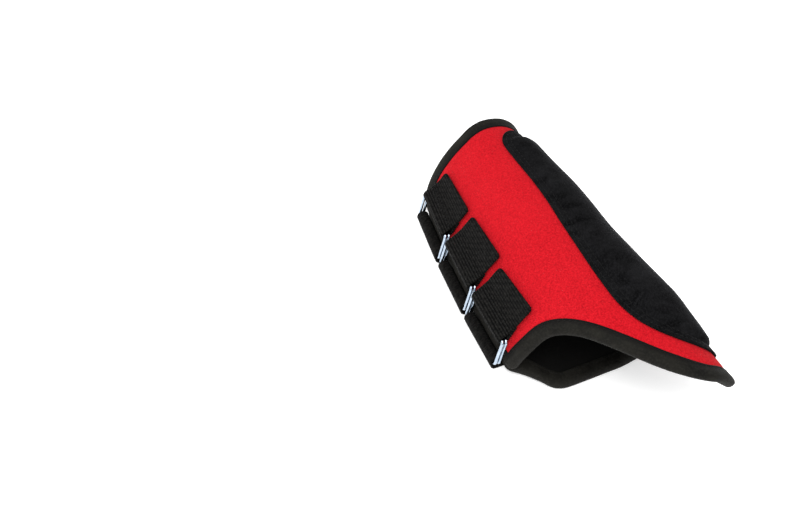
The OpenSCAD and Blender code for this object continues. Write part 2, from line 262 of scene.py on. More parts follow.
def stitches(name, pts, nrm, mat, length=2.6, gap=1.1, radius=0.34, sink=0.12):
    """A row of sewn stitches along a path; sizes in mm, path in metres."""
    seg = np.linalg.norm(np.diff(pts, axis=0), axis=1) * 1000
    dist = np.concatenate([[0], np.cumsum(seg)])
    count = int((dist[-1] - gap) // (length + gap))
    pitch = dist[-1] / max(count, 1)
    sides, rings = 6, 5
    verts, faces = [], []
    for k in range(count):
        s = (k + 0.5) * pitch + np.linspace(-0.5, 0.5, rings) * length
        c = np.stack([np.interp(s, dist, pts[:, a]) for a in range(3)], -1)
        n = np.stack([np.interp(s, dist, nrm[:, a]) for a in range(3)], -1)
        n /= np.linalg.norm(n, axis=1, keepdims=True)
        tan = c[-1] - c[0]
        tan /= np.linalg.norm(tan)
        side = np.cross(tan, n)
        bow = np.sin(np.linspace(0, math.pi, rings))
        base = len(verts)
        for q in range(rings):
            r = radius * (0.45 + 0.55 * bow[q]) / 1000
            mid = c[q] + n[q] * (bow[q] * radius * 1.1 - sink) / 1000
            for a in np.linspace(0, 2 * math.pi, sides, endpoint=False):
                verts.append(mid + side[q] * math.cos(a) * r + n[q] * math.sin(a) * r)
        for q in range(rings - 1):
            for a in range(sides):
                b = (a + 1) % sides
                faces.append([base + q * sides + a, base + q * sides + b,
                              base + (q + 1) * sides + b, base + (q + 1) * sides + a])
        faces.append([base + a for a in range(sides)][::-1])
        faces.append([base + (rings - 1) * sides + a for a in range(sides)])
    return fix_normals(new_object(name, verts, faces, None, mat))


# ---------------------------------------------------------------- materials
class Nodes:
    """Short forms for building a material's nodes."""

    def __init__(self, name, rough, **sockets):
        self.mat = bpy.data.materials.new(name)
        self.mat.use_nodes = True
        self.tree = self.mat.node_tree
        self.bsdf = self.tree.nodes["Principled BSDF"]
        self.set(**{"Roughness": rough}, **sockets)

    def set(self, **sockets):
        for key, value in sockets.items():
            self.bsdf.inputs[key.replace("_", " ")].default_value = value

    def add(self, kind, **values):
        node = self.tree.nodes.new(kind)
        for key, value in values.items():
            if hasattr(node, key) and key not in node.inputs:
                setattr(node, key, value)
            else:
                node.inputs[key.replace("_", " ")].default_value = value
        return node

    def link(self, a, b):
        self.tree.links.new(a, b)

    def coords(self, scale=(1, 1, 1), uv=False):
        src = self.add("ShaderNodeTexCoord").outputs["UV" if uv else "Object"]
        m = self.add("ShaderNodeMapping")
        m.inputs["Scale"].default_value = scale
        self.link(src, m.inputs["Vector"])
        return m.outputs["Vector"]

    def noise(self, vec, scale, detail=3.0, rough=0.55, distort=0.0):
        n = self.add("ShaderNodeTexNoise", Scale=scale, Detail=detail, Roughness=rough, Distortion=distort)
        self.link(vec, n.inputs["Vector"])
        return n.outputs["Fac"]

    def wave(self, vec, scale, distort=0.0, direction="X", detail=1.0, dscale=1.0):
        n = self.add("ShaderNodeTexWave", Scale=scale, Distortion=distort, Detail=detail)
        n.inputs["Detail Scale"].default_value = dscale
        n.bands_direction = direction
        self.link(vec, n.inputs["Vector"])
        return n.outputs["Fac"]

    def cells(self, vec, scale, feature="F1"):
        n = self.add("ShaderNodeTexVoronoi", Scale=scale)
        n.feature = feature
        self.link(vec, n.inputs["Vector"])
        return n.outputs["Distance"]

    def ramp(self, fac, stops):
        n = self.add("ShaderNodeValToRGB")
        e = n.color_ramp.elements
        while len(e) < len(stops):
            e.new(0.5)
        for el, (pos, col) in zip(e, stops):
            el.position, el.color = pos, (*col, 1)
        self.link(fac, n.inputs["Fac"])
        return n.outputs["Color"]

    def mix(self, fac, a, b, blend="MIX"):
        n = self.add("ShaderNodeMix")
        n.data_type, n.blend_type = "RGBA", blend
        for sock, v in ((n.inputs[0], fac), (n.inputs[6], a), (n.inputs[7], b)):
            if hasattr(v, "is_linked"):
                self.link(v, sock)
            else:
                sock.default_value = (*v, 1) if isinstance(v, tuple) else v
        return n.outputs[2]

    def math(self, op, a, b=0.0):
        n = self.add("ShaderNodeMath")
        n.operation = op
        for sock, v in ((n.inputs[0], a), (n.inputs[1], b)):
            if hasattr(v, "is_linked"):
                self.link(v, sock)
            else:
                sock.default_value = v
        return n.outputs[0]

    def remap(self, fac, lo, hi, to_lo, to_hi):
        n = self.add("ShaderNodeMapRange")
        for key, v in (("From Min", lo), ("From Max", hi), ("To Min", to_lo), ("To Max", to_hi)):
            n.inputs[key].default_value = v
        self.link(fac, n.inputs["Value"])
        return n.outputs["Result"]

    def bump(self, height, distance, strength=1.0):
        n = self.add("ShaderNodeBump", Strength=strength, Distance=distance)
        self.link(height, n.inputs["Height"])
        prev = self.bsdf.inputs["Normal"]
        if prev.is_linked:
            self.link(prev.links[0].from_socket, n.inputs["Normal"])
        self.link(n.outputs["Normal"], prev)

    def colour(self, socket):
        self.link(socket, self.bsdf.inputs["Base Color"])

    def rough(self, socket):
        self.link(socket, self.bsdf.inputs["Roughness"])


def felt_material():
    m = Nodes("felt_face", 0.95, Sheen_Weight=0.05, Sheen_Roughness=0.5, Sheen_Tint=(1.0, 0.35, 0.32, 1),
              Specular_IOR_Level=0.06)
    v = m.coords()
    fuzz = m.noise(v, 820, 4, 0.75)
    tuft = m.noise(v, 330, 3, 0.65, 0.6)
    cloud = m.noise(v, 22, 3, 0.55)
    pile = m.cells(v, 900)
    base = m.ramp(fuzz, [(0.34, (0.27, 0.0020, 0.006)), (0.50, (0.42, 0.0048, 0.0105)),
                         (0.66, (0.53, 0.0100, 0.0170))])
    base = m.mix(m.remap(tuft, 0.42, 0.68, 0.0, 0.22), base, (0.31, 0.0026, 0.006))
    base = m.mix(m.remap(cloud, 0.35, 0.7, 0.0, 0.25), base, (0.50, 0.0080, 0.0150))
    m.colour(base)
    m.rough(m.remap(fuzz, 0.3, 0.7, 0.88, 1.0))
    m.bump(pile, 0.0004, 0.5)
    m.bump(fuzz, 0.0007, 0.8)
    m.bump(tuft, 0.0010, 0.5)
    return m.mat


def lining_material():
    m = Nodes("knit_lining", 0.85, Sheen_Weight=0.01, Sheen_Roughness=0.5, Specular_IOR_Level=0.04)
    uv = m.coords(uv=True)
    knit = m.wave(uv, 420, 0.6, "X", 1.0, 2.0)
    row = m.wave(uv, 300, 0.6, "Y", 1.0, 2.0)
    cloud = m.noise(m.coords(), 60, 3)
    m.colour(m.mix(cloud, (0.0015, 0.0015, 0.0014), (0.005, 0.0048, 0.0045)))
    m.rough(m.remap(cloud, 0.3, 0.7, 0.8, 0.95))
    m.bump(m.math("MULTIPLY", knit, row), 0.0002, 0.35)
    return m.mat


def binding_material():
    m = Nodes("binding_tape", 0.75, Sheen_Weight=0.02, Sheen_Roughness=0.4, Sheen_Tint=(0.8, 0.76, 0.7, 1),
              Specular_IOR_Level=0.10)
    uv = m.coords(uv=True)
    along = m.wave(uv, 520, 0.5, "X", 1.0, 2.0)
    across = m.wave(uv, 520, 0.5, "Y", 1.0, 2.0)
    cloud = m.noise(m.coords(), 75, 4, 0.6)
    fine = m.noise(m.coords(), 700, 2, 0.5)
    base = m.ramp(cloud, [(0.32, (0.0022, 0.0020, 0.0015)), (0.68, (0.0100, 0.0094, 0.0074))])
    base = m.mix(m.remap(fine, 0.45, 0.7, 0, 0.4), base, (0.0185, 0.0175, 0.0145))
    # Painted shade: the tape's colour is darkened over its first few mm from the edge next to the felt,
    # standing in for the shade in the seam between tape and felt.
    v = m.add("ShaderNodeSeparateXYZ")
    m.link(uv, v.inputs["Vector"])
    m.colour(m.mix(m.remap(v.outputs["Y"], 0.0016, 0.0052, 0.88, 0.0), base, (0.0012, 0.0011, 0.0010)))
    m.rough(m.remap(cloud, 0.3, 0.7, 0.66, 0.86))
    m.bump(m.math("MULTIPLY", along, across), 0.00025, 0.4)
    m.bump(cloud, 0.0018, 0.3)
    return m.mat


def suede_material():
    m = Nodes("suede", 0.95, Sheen_Weight=0.06, Sheen_Roughness=0.25, Sheen_Tint=(0.9, 0.92, 1.0, 1),
              Specular_IOR_Level=0.03)
    v = m.coords()
    nap = m.noise(v, 900, 3, 0.7)
    brushed = m.noise(m.coords((1.0, 0.5, 0.8)), 60, 5, 0.65, 1.4)
    cloud = m.noise(v, 16, 2)
    base = m.ramp(brushed, [(0.34, (0.0007, 0.0007, 0.0008)), (0.66, (0.0078, 0.0078, 0.0084))])
    base = m.mix(m.remap(cloud, 0.35, 0.7, 0.0, 0.5), base, (0.0022, 0.0022, 0.0026))
    m.colour(m.mix(m.remap(nap, 0.46, 0.70, 0.0, 0.6), base, (0.0135, 0.0135, 0.0145)))
    m.rough(m.remap(brushed, 0.3, 0.7, 0.88, 1.0))
    m.bump(nap, 0.0005, 0.6)
    m.bump(brushed, 0.0016, 0.2)
    return m.mat


def elastic_material(name, rib=150, tone=1.0, plain_end=0.0):
    m = Nodes(name, 0.7, Sheen_Weight=0.01, Sheen_Roughness=0.35, Specular_IOR_Level=0.06)
    uv = m.coords(uv=True)
    ribs = m.wave(uv, rib, 0.8, "Y", 1.0, 3.0)
    warp = m.wave(uv, 140, 1.0, "X", 1.0, 3.0)
    twill = m.wave(uv, 105, 2.5, "DIAGONAL", 2.0, 2.0)
    fine = m.noise(m.coords(), 480, 3)
    weave = m.math("MULTIPLY", ribs, m.remap(warp, 0, 1, 0.55, 1.0))
    c = tuple(tone * q for q in (0.0004, 0.0004, 0.0004))
    d = tuple(tone * q for q in (0.0112, 0.0106, 0.0096))
    v = m.add("ShaderNodeSeparateXYZ")
    m.link(uv, v.inputs["Vector"])
    ribbed = m.remap(v.outputs["Y"], plain_end - 0.003, plain_end, 0.45, 1.0)
    flat = m.remap(m.noise(uv, 520, 3, 0.7), 0.35, 0.68, 0.0, 1.0)
    base = m.mix(m.mix(ribbed, m.mix(0.6, weave, flat), m.remap(weave, 0.1, 0.9, 0.0, 1.0)), c, d)
    base = m.mix(m.remap(twill, 0.35, 0.9, 0.0, 0.6), base, c)
    m.colour(m.mix(m.remap(fine, 0.50, 0.72, 0, 0.5), base, tuple(1.4 * q for q in d)))
    m.rough(m.remap(weave, 0, 1, 0.85, 0.6))
    m.bump(weave, 0.0006, 0.8)
    m.bump(twill, 0.0004, 0.3)
    return m.mat


def thread_material():
    m = Nodes("thread", 0.7, Sheen_Weight=0.02, Specular_IOR_Level=0.12)
    v = m.coords((1, 1, 1))
    twist = m.wave(v, 1500, 0.8, "DIAGONAL")
    m.colour(m.mix(twist, (0.0015, 0.0015, 0.0015), (0.0085, 0.0085, 0.0085)))
    m.bump(twist, 0.0001, 0.5)
    return m.mat


def chrome_material():
    m = Nodes("bright_wire", 0.12, Metallic=1.0)
    v = m.coords()
    smear = m.noise(v, 260, 3, 0.6)
    m.colour(m.mix(smear, (0.26, 0.32, 0.40), (0.50, 0.58, 0.67)))
    m.rough(m.remap(smear, 0.3, 0.7, 0.08, 0.2))
    m.bump(m.noise(v, 700, 2), 0.0001, 0.05)
    return m.mat


def hook_material():
    m = Nodes("hook_tape", 0.6, Specular_IOR_Level=0.15)
    v = m.coords()
    dots = m.cells(v, 900)
    m.colour(m.mix(m.remap(dots, 0.1, 0.7, 0, 1), (0.018, 0.018, 0.018), (0.002, 0.002, 0.002)))
    m.bump(dots, 0.0007, 0.9)
    return m.mat


def hidden_material(name, a, b, scale, rough=0.8):
    m = Nodes(name, rough)
    n = m.noise(m.coords(), scale, 4, 0.6)
    m.colour(m.mix(n, a, b))
    m.bump(n, 0.0004, 0.4)
    return m.mat


FELT, LINING, BINDING, SUEDE = felt_material(), lining_material(), binding_material(), suede_material()
STRAP_MAT = elastic_material("strap_elastic", plain_end=0.021)
TAB_MAT = elastic_material("tab_elastic", 380, 1.1)
THREAD, CHROME, HOOK = thread_material(), chrome_material(), hook_material()
FOAM = hidden_material("cell_foam", (0.02, 0.02, 0.021), (0.05, 0.05, 0.052), 900)
PLATE = hidden_material("plate_sheet", (0.50, 0.50, 0.48), (0.58, 0.58, 0.56), 120, 0.5)

CAD_MATERIALS = {"foam_core": FOAM, "pad_foam": FOAM, "strike_plate": PLATE}
for n in (1, 2, 3):
    CAD_MATERIALS[f"outer_loop_{n}"] = CHROME
    CAD_MATERIALS[f"inner_loop_{n}"] = CHROME
for name, mat in CAD_MATERIALS.items():
    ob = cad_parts[name]
    ob.data.materials.clear()
    ob.data.materials.append(mat)
    if "loop" in name:
        ob.data.polygons.foreach_set("use_smooth", [True] * len(ob.data.polygons))

# ---------------------------------------------------------------- shell
NW, NX = 170, 120


def shell_grid(inset):
    """Pattern places for a skin of the wrap, stopping inset mm from its edge."""
    w = np.linspace(W_MIN + inset, W_MAX - inset, NW)
    slope_lo = np.gradient(lower_edge(w), w)
    slope_up = np.gradient(upper_edge(w), w)
    lo = upper_edge(w) + inset * np.minimum(2.0, np.hypot(1, slope_up))
    hi = lower_edge(w) - inset * np.minimum(2.0, np.hypot(1, slope_lo))
    u = np.linspace(0, 1, NX)[:, None]
    x = lo + (hi - lo) * u
    return x, np.broadcast_to(w, x.shape), np.minimum(x - lo, hi - x)


def shell_skins():
    """The felt face and the lining, each a thin closed skin that dips under the binding."""
    x, w, edge = shell_grid(SKIN_INSET)
    flat_uv = np.stack([x, w], -1) / 1000
    p0 = on_wrap(x, w, 0.0)
    soft = 0.5 + 0.5 * smooth_noise(p0, 0.055, 3)
    tuck = 0.55 * (1 - ease((edge - 2.5) / 6))
    side = np.minimum(w - W_MIN, W_MAX - w)
    tuck = np.maximum(tuck, 0.55 * (1 - ease((side - 9) / 6)))
    top = on_wrap(x, w, 0.34 * np.clip(soft, 0, 1) + tuck)
    felt = slab("felt_face", top, on_wrap(x, w, SKIN + 0.05 + 0 * x), flat_uv, FELT)
    soft2 = 0.5 + 0.5 * smooth_noise(p0, 0.04, 11)
    inner = on_wrap(x, w, WALL - 0.5 * np.clip(soft2, 0, 1) - tuck)
    lining = slab("inner_lining_cloth", inner, on_wrap(x, w, WALL - SKIN - 0.05 + 0 * x), flat_uv, LINING)
    along = np.diff(x, axis=0)
    area = float(np.sum(0.25 * (along[:, :-1] + along[:, 1:]) * 2 * np.diff(w, axis=1)[:-1]))
    return fix_normals(felt), fix_normals(lining), area


felt, lining, flat_area = shell_skins()
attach(felt, "boot")
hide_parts("outer_felt")
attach(lining, "boot")
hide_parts("inner_lining")


def outline():
    """The wrap's edge in the pattern as one closed path with round corners, then its inward normals."""
    w = np.linspace(W_MIN, W_MAX, 500)
    up = np.stack([upper_edge(w), w], -1)
    lo = np.stack([lower_edge(w), w], -1)[::-1]
    far = np.linspace(up[-1], lo[0], 160)[1:-1]
    near = np.linspace(lo[-1], up[0], 160)[1:-1]
    path = np.concatenate([up, far, lo, near])
    d = np.concatenate([[0], np.cumsum(np.linalg.norm(np.diff(path, axis=0, append=path[:1]), axis=1))])
    total, closed = d[-1], np.concatenate([path, path[:1]])
    count = int(total / 0.8)
    even = np.stack([np.interp(np.arange(count) * total / count, d, closed[:, k]) for k in (0, 1)], -1)
    kernel = np.hanning(27)
    kernel /= kernel.sum()
    ext = np.concatenate([even[-40:], even, even[:40]])
    smooth = np.stack([np.convolve(ext[:, k], kernel, "same") for k in (0, 1)], -1)[40:-40]
    smooth = smooth[::3]
    tan = np.roll(smooth, -1, 0) - np.roll(smooth, 1, 0)
    tan /= np.linalg.norm(tan, axis=1, keepdims=True)
    nrm = np.stack([tan[:, 1], -tan[:, 0]], -1)
    return smooth, nrm


edge_path, edge_in = outline()


def edge_points(t, depth):
    """The line t mm in from the wrap's edge, at a depth under its face."""
    q = edge_path + edge_in * t
    return on_wrap(q[:, 0], np.clip(q[:, 1], W_MIN, W_MAX), depth)


# Section of the tape as (mm in from the edge, depth): over the face, round the nose, back on the inside,
# then the inner wall of the fold.
BIND_PROFILE = [
    (9.9, 0.75), (9.8, 0.22), (9.2, 0.0), (8.2, 0.14), (7.0, -0.02), (5.0, -0.30), (3.0, -0.34), (1.2, -0.05),
    (0.1, 0.55), (-0.55, 1.5), (-0.85, 2.5), (-0.95, 3.5), (-0.85, 4.5), (-0.55, 5.5), (0.1, 6.45),
    (1.2, 7.05), (3.0, 7.34), (5.0, 7.30), (7.0, 7.02), (8.2, 6.86), (9.2, 7.0), (9.8, 6.78), (9.9, 6.25),
    (9.2, 6.0), (4.5, 6.0), (1.9, 5.6), (1.35, 4.6), (1.3, 3.5), (1.35, 2.4), (1.9, 1.4), (4.5, 1.0),
    (9.2, 1.0)]


def binding():
    """The tape folded over every edge, swept along the outline with a slight ripple."""
    rings = []
    ripple = smooth_noise(edge_points(3.0, 0.0), 0.02, 5)
    for t, d in BIND_PROFILE:
        outer = 1 if d < 3.5 else -1
        rings.append(edge_points(t, d + outer * 0.12 * ripple * (t < 9.5)))
    rings = np.stack(rings)
    rings[..., 2] = np.maximum(rings[..., 2], 0.00005)
    n, m = rings.shape[:2]
    steps = [math.hypot(a[0] - b[0], a[1] - b[1]) for a, b in zip(BIND_PROFILE[1:], BIND_PROFILE)]
    girth = np.cumsum([0] + steps)
    run = np.arange(m) * 2.4
    uv = np.stack(np.broadcast_arrays(run[None, :], girth[:, None]), -1) / 1000
    ob = new_object("edge_binding_tape", rings.reshape(-1, 3), grid_faces(n, m, close_a=True, close_b=True),
                    uv.reshape(-1, 2), BINDING)
    return fix_normals(ob)


bind = binding()
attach(bind, "boot")
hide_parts("edge_binding")


def edge_stitches(name, t, depth, sign):
    """A closed row of stitches on the binding; sign says which way the row faces."""
    p = edge_points(t, depth)
    q = edge_points(t, depth + 1.0)
    n = (p - q) * sign
    n /= np.linalg.norm(n, axis=1, keepdims=True)
    p, n = np.concatenate([p, p[:1]]), np.concatenate([n, n[:1]])
    return stitches(name, p, n, THREAD, 2.8, 1.3, 0.26)


for ob in (edge_stitches("binding_stitches_out", BIND_ROW, 0.14, 1),
           edge_stitches("binding_stitches_in", BIND_ROW, 6.86, -1)):
    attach(ob, "boot")

# ---------------------------------------------------------------- strike pad
PAD_X0 = -TOP_REACH + BIND_W + 5
PAD_X1 = TONGUE_REACH - BIND_W - 11.5
SPINE_X0, SPINE_X1 = PAD_X0 + 20, PAD_X1 - 56
PAD_M = 110


def pad_centre(x):
    """Sideways place of the pad's middle line."""
    return 3 - 12.5 * (1 - ease((x + 150) / 140))


def pad_half(x):
    """Half width of the pad, with rounded ends."""
    w = PAD_HALF_TOP + (PAD_HALF_LOW - PAD_HALF_TOP) * ease((x + 165) / 215)
    low = np.maximum(0, 1 - ((x - SPINE_X1) / (PAD_X1 - SPINE_X1)) ** 2) ** 0.55
    top = np.maximum(0, 1 - ((SPINE_X0 - x) / (SPINE_X0 - PAD_X0)) ** 2) ** 0.45
    return w * np.where(x > SPINE_X1, low, 1) * np.where(x < SPINE_X0, top, 1)


def pad_outline():
    """Evenly spaced points of the pad's outline, and the spine points they shrink towards."""
    k = np.arange(2 * PAD_M)
    m = np.where(k <= PAD_M, k, 2 * PAD_M - k)
    c = (1 - np.cos(math.pi * m / PAD_M)) / 2
    x = PAD_X0 + (PAD_X1 - PAD_X0) * c
    side = np.where(k < PAD_M, -1, 1) * ((k != 0) & (k != PAD_M))
    o = np.stack([x, side * pad_half(x)], -1)
    d = np.concatenate([[0], np.cumsum(np.linalg.norm(np.diff(o, axis=0, append=o[:1]), axis=1))])
    half = d[PAD_M]
    s = np.concatenate([np.linspace(0, half, PAD_M + 1)[:-1], np.linspace(half, d[-1], PAD_M + 1)[:-1]])
    closed = np.concatenate([o, o[:1]])
    o = np.stack([np.interp(s, d, closed[:, a]) for a in (0, 1)], -1)
    inner = np.stack([np.clip(o[:, 0], SPINE_X0, SPINE_X1), 0 * o[:, 0]], -1)
    return o, inner


PAD_OUT, PAD_IN = pad_outline()
PAD_SPAN = np.linalg.norm(PAD_OUT - PAD_IN, axis=1)


def on_pad(x, q, up):
    """Points at height up over the felt, q mm sideways of the pad's middle line."""
    s = q + CENTRE_S + pad_centre(x)
    r, h = ridge_r(x), top_z(x)
    seg = np.where(s < 0, 2, 3)
    t = np.where(s < 0, 1 + s / r / PHI1, s / (math.pi * h / 2))
    y, z = section(x, seg, t, -up)
    return pack_points(x, y, z)


def pad_place(inset, share):
    f = (1 - inset / PAD_SPAN)[:, None] * share
    return PAD_IN + (PAD_OUT - PAD_IN) * f


def pad_points(inset, share, up):
    c = pad_place(inset, share)
    return on_pad(c[:, 0], c[:, 1], up)


def pad_piece():
    """The suede cover: a flat sewn border, a pulled-in seam and a crowned cushion."""
    border = [(0.15, 0.05), (0.0, 0.5), (0.25, 1.05), (1.0, 1.25), (2.2, 1.2), (3.0, 1.0), (3.8, 1.2),
              (5.2, 1.25), (6.2, 1.05), (6.9, 0.75), (7.6, 1.15), (8.4, 2.1), (9.3, 3.05), (10.4, 3.95),
              (12.0, 4.85)]
    middle = [(0.90, 5.5), (0.78, 6.1), (0.64, 6.5), (0.48, 6.8), (0.32, 6.95), (0.15, 7.0)]
    rings = [(inset, 1, up) for inset, up in border] + [(12.0, share, up) for share, up in middle]
    crown = []
    for inset, share, up in rings:
        p = pad_points(inset, share, up)
        n = smooth_noise(p, 0.035, 21) * 0.22 * ease((inset - 7) / 4)
        narrow = np.clip((PAD_SPAN - 12) / 12, 0.35, 1)
        height = np.where(inset > 8, 1.2 + (up - 1.2) * (0.72 + 0.28 * narrow), up)
        crown.append(pad_points(inset, share, LIFT + height + n))
    top = np.stack(crown)
    low = np.stack([pad_points(0.6, 1, LIFT), pad_points(8, 1, LIFT)])
    nt, m = top.shape[:2]
    verts = np.concatenate([top.reshape(-1, 3), low.reshape(-1, 3)])
    faces = grid_faces(nt, m, close_b=True)
    faces += [[j, (j + 1) % m, nt * m + (j + 1) % m, nt * m + j] for j in range(m)]
    faces += grid_faces(2, m, nt * m, close_b=True, flip=True)
    for base, flip in (((nt - 1) * m, False), ((nt + 1) * m, True)):
        for k in range(m // 2):
            a, b = base + k, base + k + 1
            c, d = base + (m - k - 1) % m, base + (m - k) % m
            q = [a, b, c, d]
            q = [v for i, v in enumerate(q) if v not in q[:i]]
            if len(q) > 2:
                faces.append(q[::-1] if flip else q)
    loose = np.zeros(len(verts), bool)
    loose[13 * m:nt * m] = True
    places = [pad_place(i, s) for i, s, _ in rings] + [pad_place(0.6, 1), pad_place(8, 1)]
    uv = np.concatenate(places) / 1000
    return fix_normals(new_object("suede_pad", verts, faces, uv, SUEDE)), loose


def puff(ob, free, pressure, cap):
    """Blows the loose middle of a sewn-down cover up with the cloth solver, its border held."""
    count = len(ob.data.vertices)
    before = np.empty(count * 3)
    ob.data.vertices.foreach_get("co", before)
    before = before.reshape(-1, 3)
    held = ob.vertex_groups.new(name="sewn")
    held.add([i for i in range(count) if not free[i]], 1.0, "REPLACE")
    mod = ob.modifiers.new("puff", "CLOTH")
    mod.settings.vertex_group_mass = "sewn"
    mod.settings.quality = 6
    mod.settings.mass = 0.25
    mod.settings.tension_stiffness = 12
    mod.settings.compression_stiffness = 12
    mod.settings.bending_stiffness = 0.6
    mod.settings.use_pressure = True
    mod.settings.uniform_pressure_force = pressure
    mod.settings.effector_weights.gravity = 0
    mod.collision_settings.use_collision = False
    mod.point_cache.frame_start, mod.point_cache.frame_end = 1, 20
    for f in range(1, 21):
        bpy.context.scene.frame_set(f)
    deps = bpy.context.evaluated_depsgraph_get()
    after = np.empty(count * 3)
    ob.evaluated_get(deps).data.vertices.foreach_get("co", after)
    move = after.reshape(-1, 3) - before
    size = np.linalg.norm(move, axis=1, keepdims=True)
    move *= min(1.0, cap / max(float(size.max()), 1e-9))
    print("puff: largest move %.1f mm, mean %.1f mm" % (size.max() * 1000, size[free].mean() * 1000),
          file=sys.stderr)
    ob.modifiers.remove(mod)
    ob.vertex_groups.remove(held)
    bpy.context.scene.frame_set(1)
    ob.data.vertices.foreach_set("co", (before + move).ravel())
    ob.data.update()


pad, pad_loose = pad_piece()
puff(pad, pad_loose, 4.0, 0.0018)
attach(pad, "boot")
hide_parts("pad_cover")


def pad_row(name, inset, up):
    """A closed row of stitches on the pad's border."""
    p = pad_points(inset, 1, up)
    n = pad_points(inset, 1, up + 1) - p
    n /= np.linalg.norm(n, axis=1, keepdims=True)
    p, n = np.concatenate([p, p[:1]]), np.concatenate([n, n[:1]])
    ob = stitches(name, p, n, THREAD, 2.6, 1.0, 0.30)
    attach(ob, "boot")
    return ob


row = pad_row("pad_stitch_rim", PAD_RIM_ROW, LIFT + 1.02)
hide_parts("pad_stitching")
pad_row("pad_stitch_seam", PAD_SEAM_ROW, LIFT + 0.78)


# ---------------------------------------------------------------- straps and tabs
def arc(centre, radius, a0, a1, count):
    a = np.radians(np.linspace(a0, a1, count))
    return np.stack([centre[0] + radius * np.cos(a), centre[1] + radius * np.sin(a)], -1)


def bezier(p0, p1, p2, p3, count):
    t = np.linspace(0, 1, count)[:, None]
    return (1 - t) ** 3 * p0 + 3 * (1 - t) ** 2 * t * p1 + 3 * (1 - t) * t * t * p2 + t ** 3 * p3


def even_path(pts, step):
    """The same path with evenly spaced points, and each point's distance along it."""
    d = np.concatenate([[0], np.cumsum(np.linalg.norm(np.diff(pts, axis=0), axis=1))])
    s = np.linspace(0, d[-1], max(8, int(d[-1] / step)))
    return np.stack([np.interp(s, d, pts[:, k]) for k in (0, 1)], -1), s


def face_arc(radius, phi_a, phi_b, count):
    """Part of an arc that runs along the front of the boot."""
    a = np.linspace(phi_a, phi_b, count)
    return np.stack([FY - radius * np.sin(a), FZ + radius * np.cos(a)], -1)


def strap_path(short):
    """Middle line of the elastic in y, z: free end, flap, round the upper bars, back under the flap."""
    roll = BORE_R + 0.04 + ELASTIC / 2
    mid = FLAP_HI - ELASTIC / 2
    end = PHI_UP - (FLAP_LEN - short) / (FRONT_R + 2)
    flap = face_arc(mid, end + 0.012, PHI_FOLD - 0.02, 40)
    out = math.degrees(math.atan2(math.cos(PHI_UP), -math.sin(PHI_UP)))
    ring = arc(HINGE_UP, roll, out - 42, out + 188, 60)
    t0 = (flap[-1] - flap[-2]) / np.linalg.norm(flap[-1] - flap[-2])
    t1 = (ring[1] - ring[0]) / np.linalg.norm(ring[1] - ring[0])
    join = bezier(flap[-1], flap[-1] + t0 * 3.0, ring[0] - t1 * 3.0, ring[0], 16)
    back = face_arc(FLAP_LO + 0.85, PHI_UP - 0.025, PHI_FOLD + 0.01, 16)
    t2 = (ring[-1] - ring[-2]) / np.linalg.norm(ring[-1] - ring[-2])
    t3 = (back[1] - back[0]) / np.linalg.norm(back[1] - back[0])
    turn = bezier(ring[-1], ring[-1] + t2 * 0.8, back[0] - t3 * 0.8, back[0], 6)
    return even_path(np.concatenate([flap, join[1:-1], ring, turn[1:-1], back]), 0.55)


def ribbon(name, path, run, seat, width, mat, half, corner=0.0, skew=0.0, cols=40, hem=0.0, ribs=0.0):
    """A flat woven strip of elastic: path in y, z along it, straight across X, with rounded sides."""
    tan = np.gradient(path, axis=0)
    tan /= np.linalg.norm(tan, axis=1, keepdims=True)
    nrm = np.stack([tan[:, 1], -tan[:, 0]], -1)
    share = np.linspace(0, 1, cols)
    xs = width * (0.75 * share + 0.25 * (0.5 - 0.5 * np.cos(np.pi * share)))
    n, m = len(path), cols
    edge = np.minimum(xs, width - xs)
    thick = half * np.sqrt(np.clip(1 - (1 - np.clip(edge / 0.9, 0, 1)) ** 2, 0.06, 1))
    start = np.zeros(m)
    if corner:
        cut = np.clip(corner - edge, 0, corner)
        start = corner - np.sqrt(np.maximum(0, corner ** 2 - cut ** 2)) + skew * (1 - xs / width)
    tops, lows, uvs = [], [], []
    for j in range(m):
        s = start[j] + (run - run[0]) * (1 - start[j] / run[-1])
        p = np.stack([np.interp(s, run, path[:, k]) for k in (0, 1)], -1)
        q = np.stack([np.interp(s, run, nrm[:, k]) for k in (0, 1)], -1)
        end = np.minimum(s - s[0], s[-1] - s)
        h = thick[j] * np.sqrt(np.clip(1 - (1 - np.clip(end / 0.8, 0, 1)) ** 2, 0.06, 1))
        up = (h + hem * (1 - ease((s - start[j] - 3.2) / 1.6)) * (edge[j] > 0.3)
              + ribs * np.cos(2 * math.pi * s / 1.6) * (h > 0.6 * half))
        u = xs[j] - width / 2 + 0 * s
        tops.append(on_seat(seat, u, p[:, 0] + q[:, 0] * up, p[:, 1] + q[:, 1] * up))
        lows.append(on_seat(seat, u, p[:, 0] - q[:, 0] * h, p[:, 1] - q[:, 1] * h))
        uvs.append(np.stack([xs[j] + 0 * s, s], -1) / 1000)
    top, low, uv = np.stack(tops), np.stack(lows), np.stack(uvs)
    return fix_normals(slab(name, top, low, uv, mat))


def tab_path():
    """Middle line of the tab: from under the boot, up the outside, round the lower bars, down the inside."""
    roll, foot = ROLL_R - ELASTIC / 2, TAB_FOOT_R - ELASTIC / 2
    d = HINGE_LO - TAB_FOOT
    lean = math.degrees(math.atan2(d[1], d[0]) + math.acos((foot - roll) / np.linalg.norm(d)))
    turn = math.degrees(math.atan2(d[1], d[0]) - math.acos((foot - roll) / np.linalg.norm(d)))
    z = TAB_FOOT[1] - foot
    leg = np.stack([np.linspace(16.2, TAB_FOOT[0] + 0.6, 20), np.full(20, z)], -1)
    rolls = [arc(TAB_FOOT, foot, 270, lean, 24), arc(HINGE_LO, roll, lean, turn, 50),
             arc(TAB_FOOT, foot, turn, -62, 20)]
    return even_path(np.concatenate([leg, *rolls]), 0.5)


